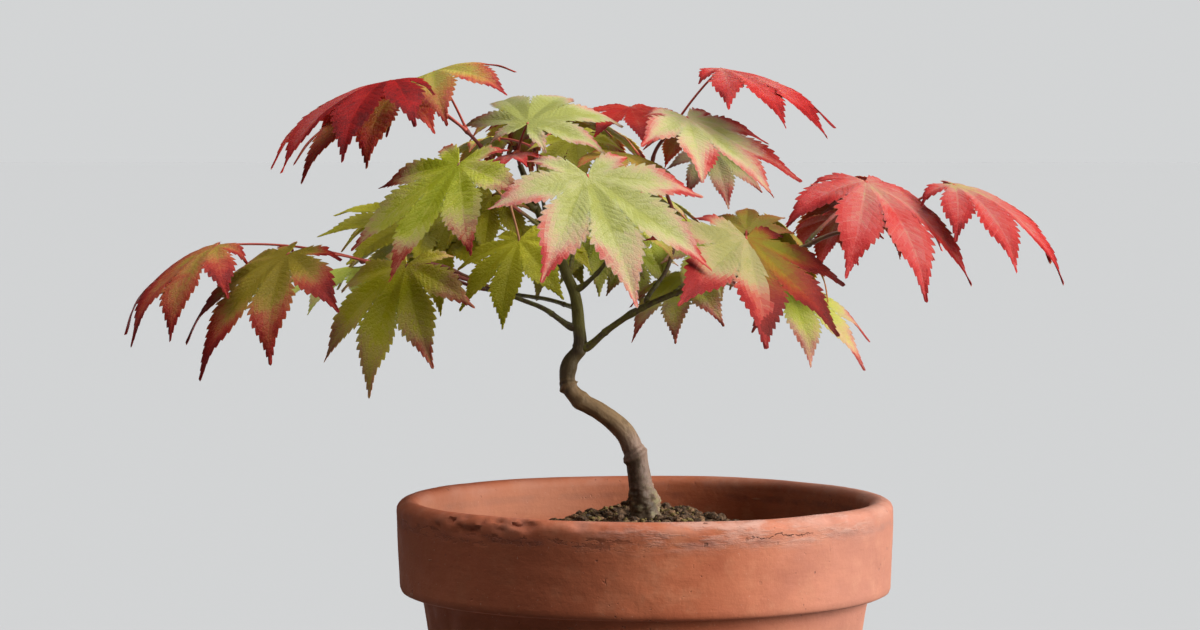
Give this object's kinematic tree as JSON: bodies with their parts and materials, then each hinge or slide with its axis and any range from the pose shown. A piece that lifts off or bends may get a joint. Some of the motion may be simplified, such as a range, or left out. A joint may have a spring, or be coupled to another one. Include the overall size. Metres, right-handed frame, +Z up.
{
  "type": "potted japanese maple",
  "caption": "Small young japanese maple with lobed leaves turning from green to red, rooted in a plain round terracotta pot.",
  "frame": {"origin": "centre of the pot's flat underside, on the pot's axis", "axes": "+Z up along the pot's axis, +X to the right of the pictured view, -Y towards the viewer"},
  "size_m": [0.2647, 0.1611, 0.2511],
  "materials": {
    "terracotta": "unglazed, matte, with pale mineral bloom",
    "potting_soil": "rough, dark and crumbly",
    "bark": "satin bark, olive brown",
    "green_leaves": "satin leaf",
    "pale_leaves": "satin leaf with pink margins",
    "red_leaves": "satin leaf",
    "bronze_leaves": "satin leaf turning from green to red"
  },
  "bodies": {
    "root": {"pot": "terracotta", "soil": "potting_soil", "trunk": "bark", "left_bough": "bark", "left_low_bough": "bark", "left_back_bough": "bark", "upper_left_bough": "bark", "middle_left_bough": "bark", "front_bough": "bark", "right_bough": "bark", "upper_right_bough": "bark", "right_near_bough": "bark", "back_right_bough": "bark", "right_back_bough": "bark", "back_bough": "bark", "back_top_bough": "bark", "left_tip_foliage": "bronze_leaves", "left_low_foliage": "green_leaves", "left_back_foliage": "green_leaves", "upper_left_foliage": "red_leaves", "middle_left_foliage": "green_leaves", "top_foliage": "pale_leaves", "front_foliage": "pale_leaves", "upper_right_foliage": "red_leaves", "right_near_foliage": "bronze_leaves", "right_tip_foliage": "red_leaves", "back_right_foliage": "green_leaves", "right_back_foliage": "red_leaves", "back_foliage": "green_leaves", "back_top_foliage": "bronze_leaves"}
  },
  "joints": []
}
